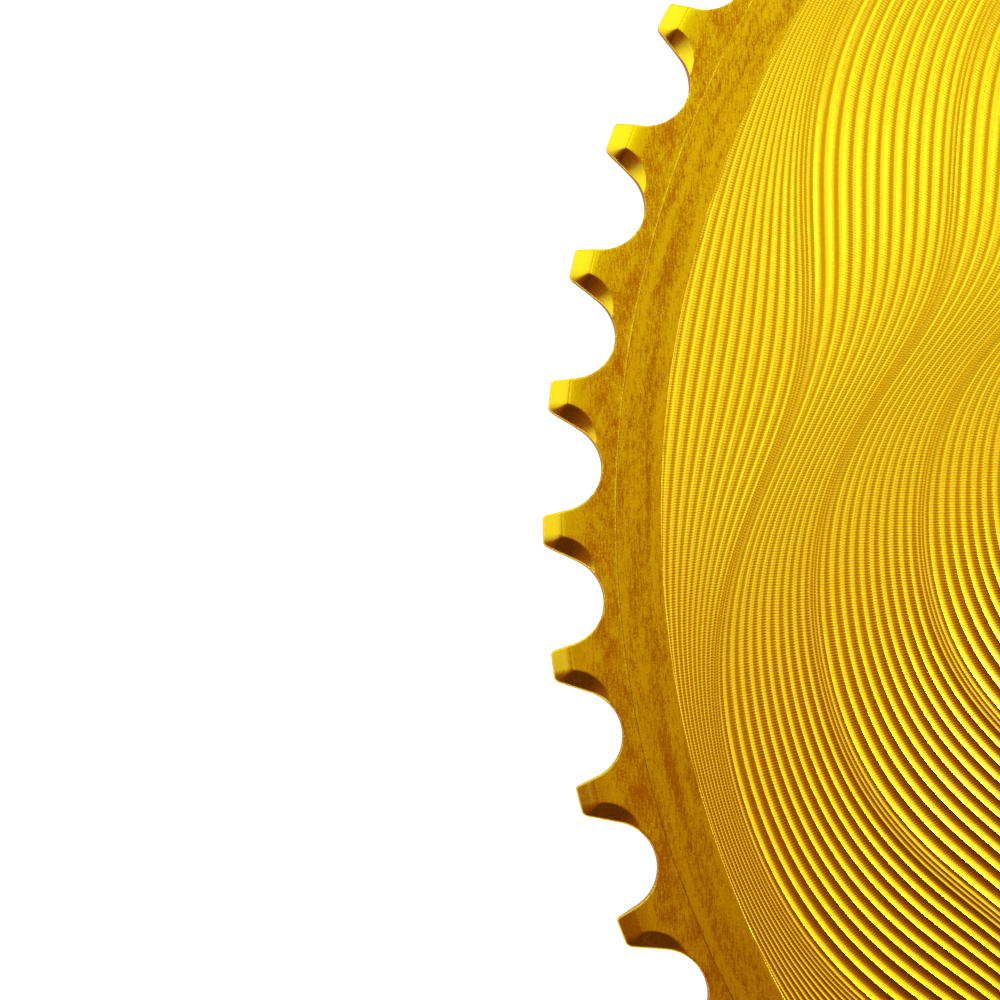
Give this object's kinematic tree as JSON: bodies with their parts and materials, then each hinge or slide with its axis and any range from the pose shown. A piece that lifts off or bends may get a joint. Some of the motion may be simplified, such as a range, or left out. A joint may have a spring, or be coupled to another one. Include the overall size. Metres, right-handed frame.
{
  "type": "bicycle chainring",
  "caption": "Flat toothed ring that carries a bicycle chain, with bevelled teeth, a wide bore, bolt holes and wavy grooves machined into its face.",
  "frame": {"origin": "centre of the bore on the flat back face", "axes": "+Z along the ring's axis, out of the grooved face; one bolt hole lies on +X"},
  "size_m": [0.2128, 0.2128, 0.0032],
  "materials": {
    "gold_aluminium": "gold anodised, machined"
  },
  "bodies": {
    "root": {"chainring": "gold_aluminium"}
  },
  "joints": []
}
